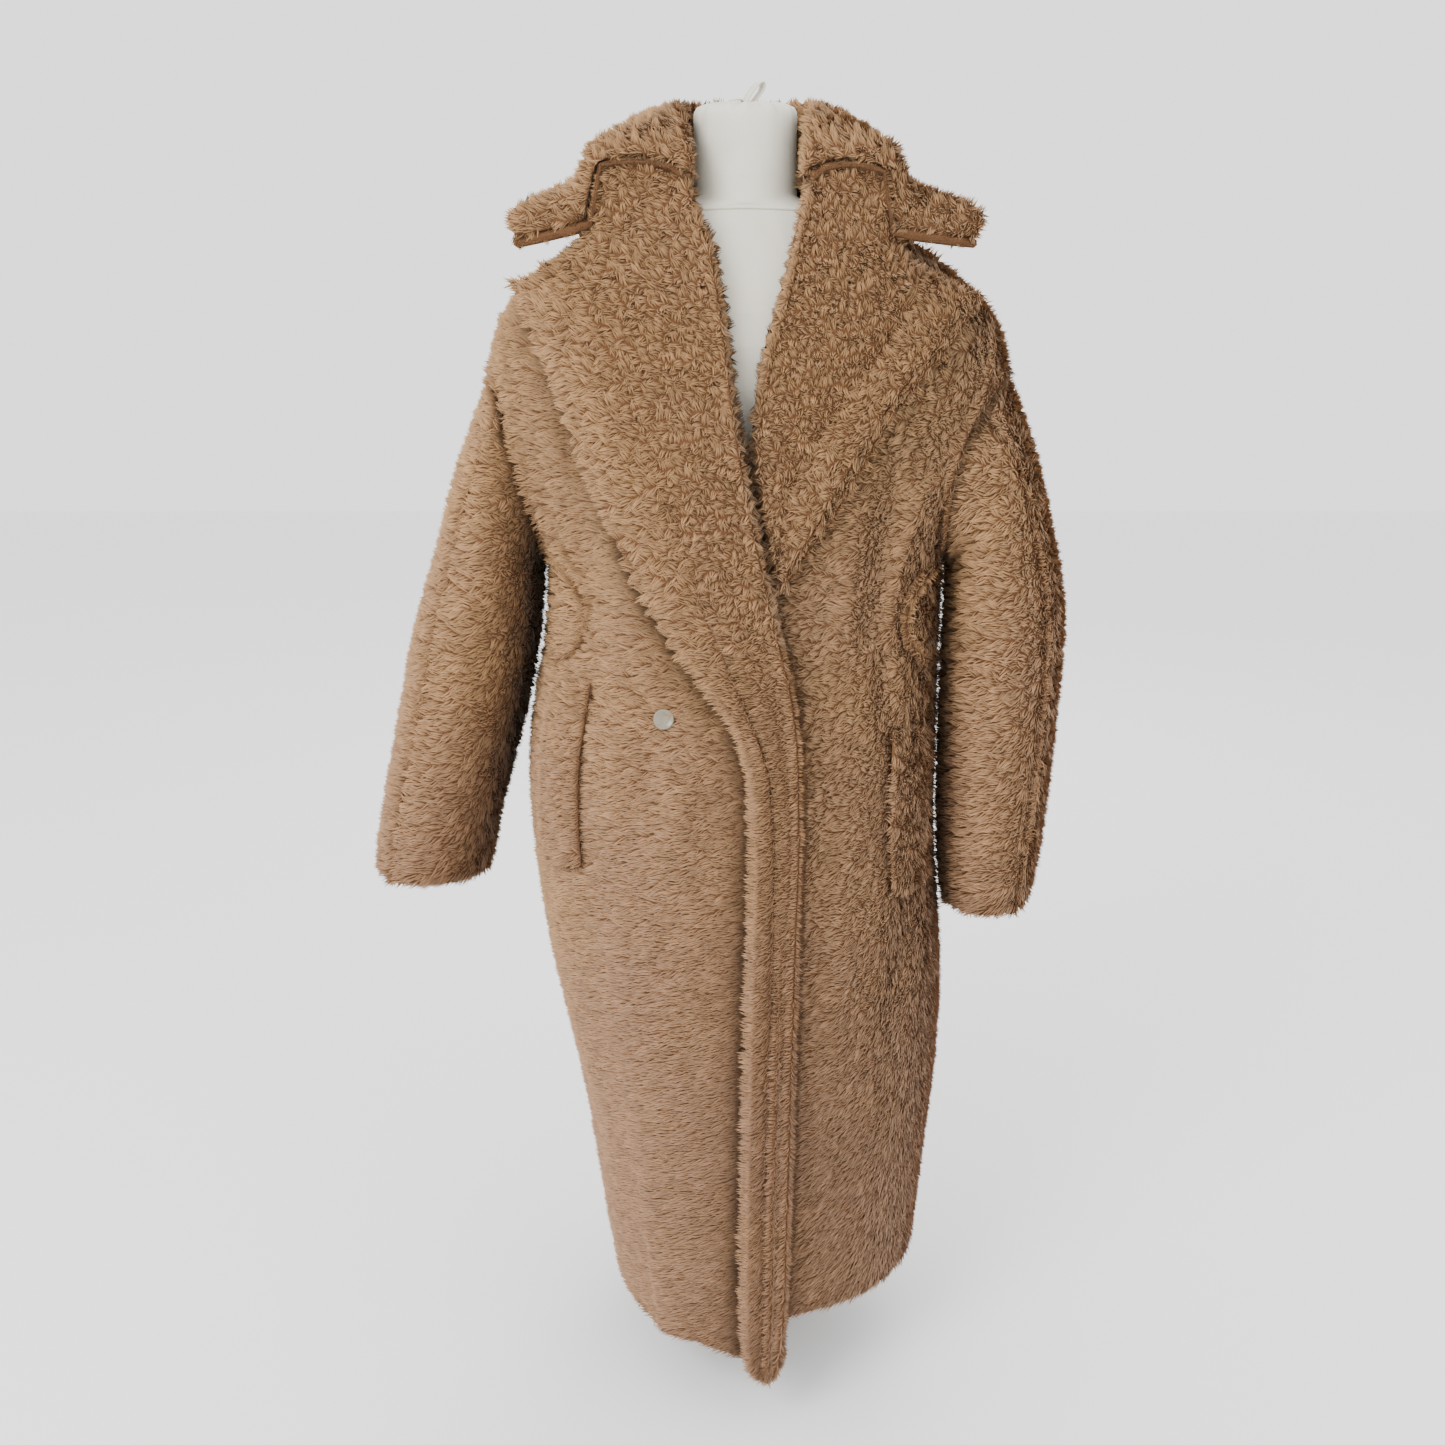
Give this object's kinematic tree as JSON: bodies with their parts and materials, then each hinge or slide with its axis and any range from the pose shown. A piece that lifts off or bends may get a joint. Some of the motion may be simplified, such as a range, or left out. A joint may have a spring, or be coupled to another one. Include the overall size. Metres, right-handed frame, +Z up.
{
  "type": "faux fur coat on dress form",
  "caption": "Long oversized faux fur coat with wide notched lapels, worn open at the neck on a limbless dress form with a round stand.",
  "frame": {"origin": "centre of the round stand's underside, on the floor", "axes": "+Z up, +X towards the wearer's left, -Y the way the coat faces"},
  "size_m": [0.7409, 0.4237, 1.3635],
  "materials": {
    "fur": "camel faux fur, dense soft pile",
    "linen": "cream plain-woven cover",
    "button": "pale horn look, polished",
    "stand": "off-white satin enamel"
  },
  "bodies": {
    "root": {"front_right": "fur", "front_left": "fur", "back": "fur", "gusset_right": "fur", "gusset_left": "fur", "sleeve_right_upper": "fur", "sleeve_right_under": "fur", "sleeve_left_upper": "fur", "sleeve_left_under": "fur", "lapel_right": "fur", "lapel_left": "fur", "edge_strip_right": "fur", "edge_strip_left": "fur", "collar": "fur", "pocket_welt_right": "fur", "pocket_welt_left": "fur", "button": "button", "form_torso": "linen", "form_neck": "linen", "form_tie": "linen", "stand_pole": "stand", "stand_base": "stand"}
  },
  "joints": []
}
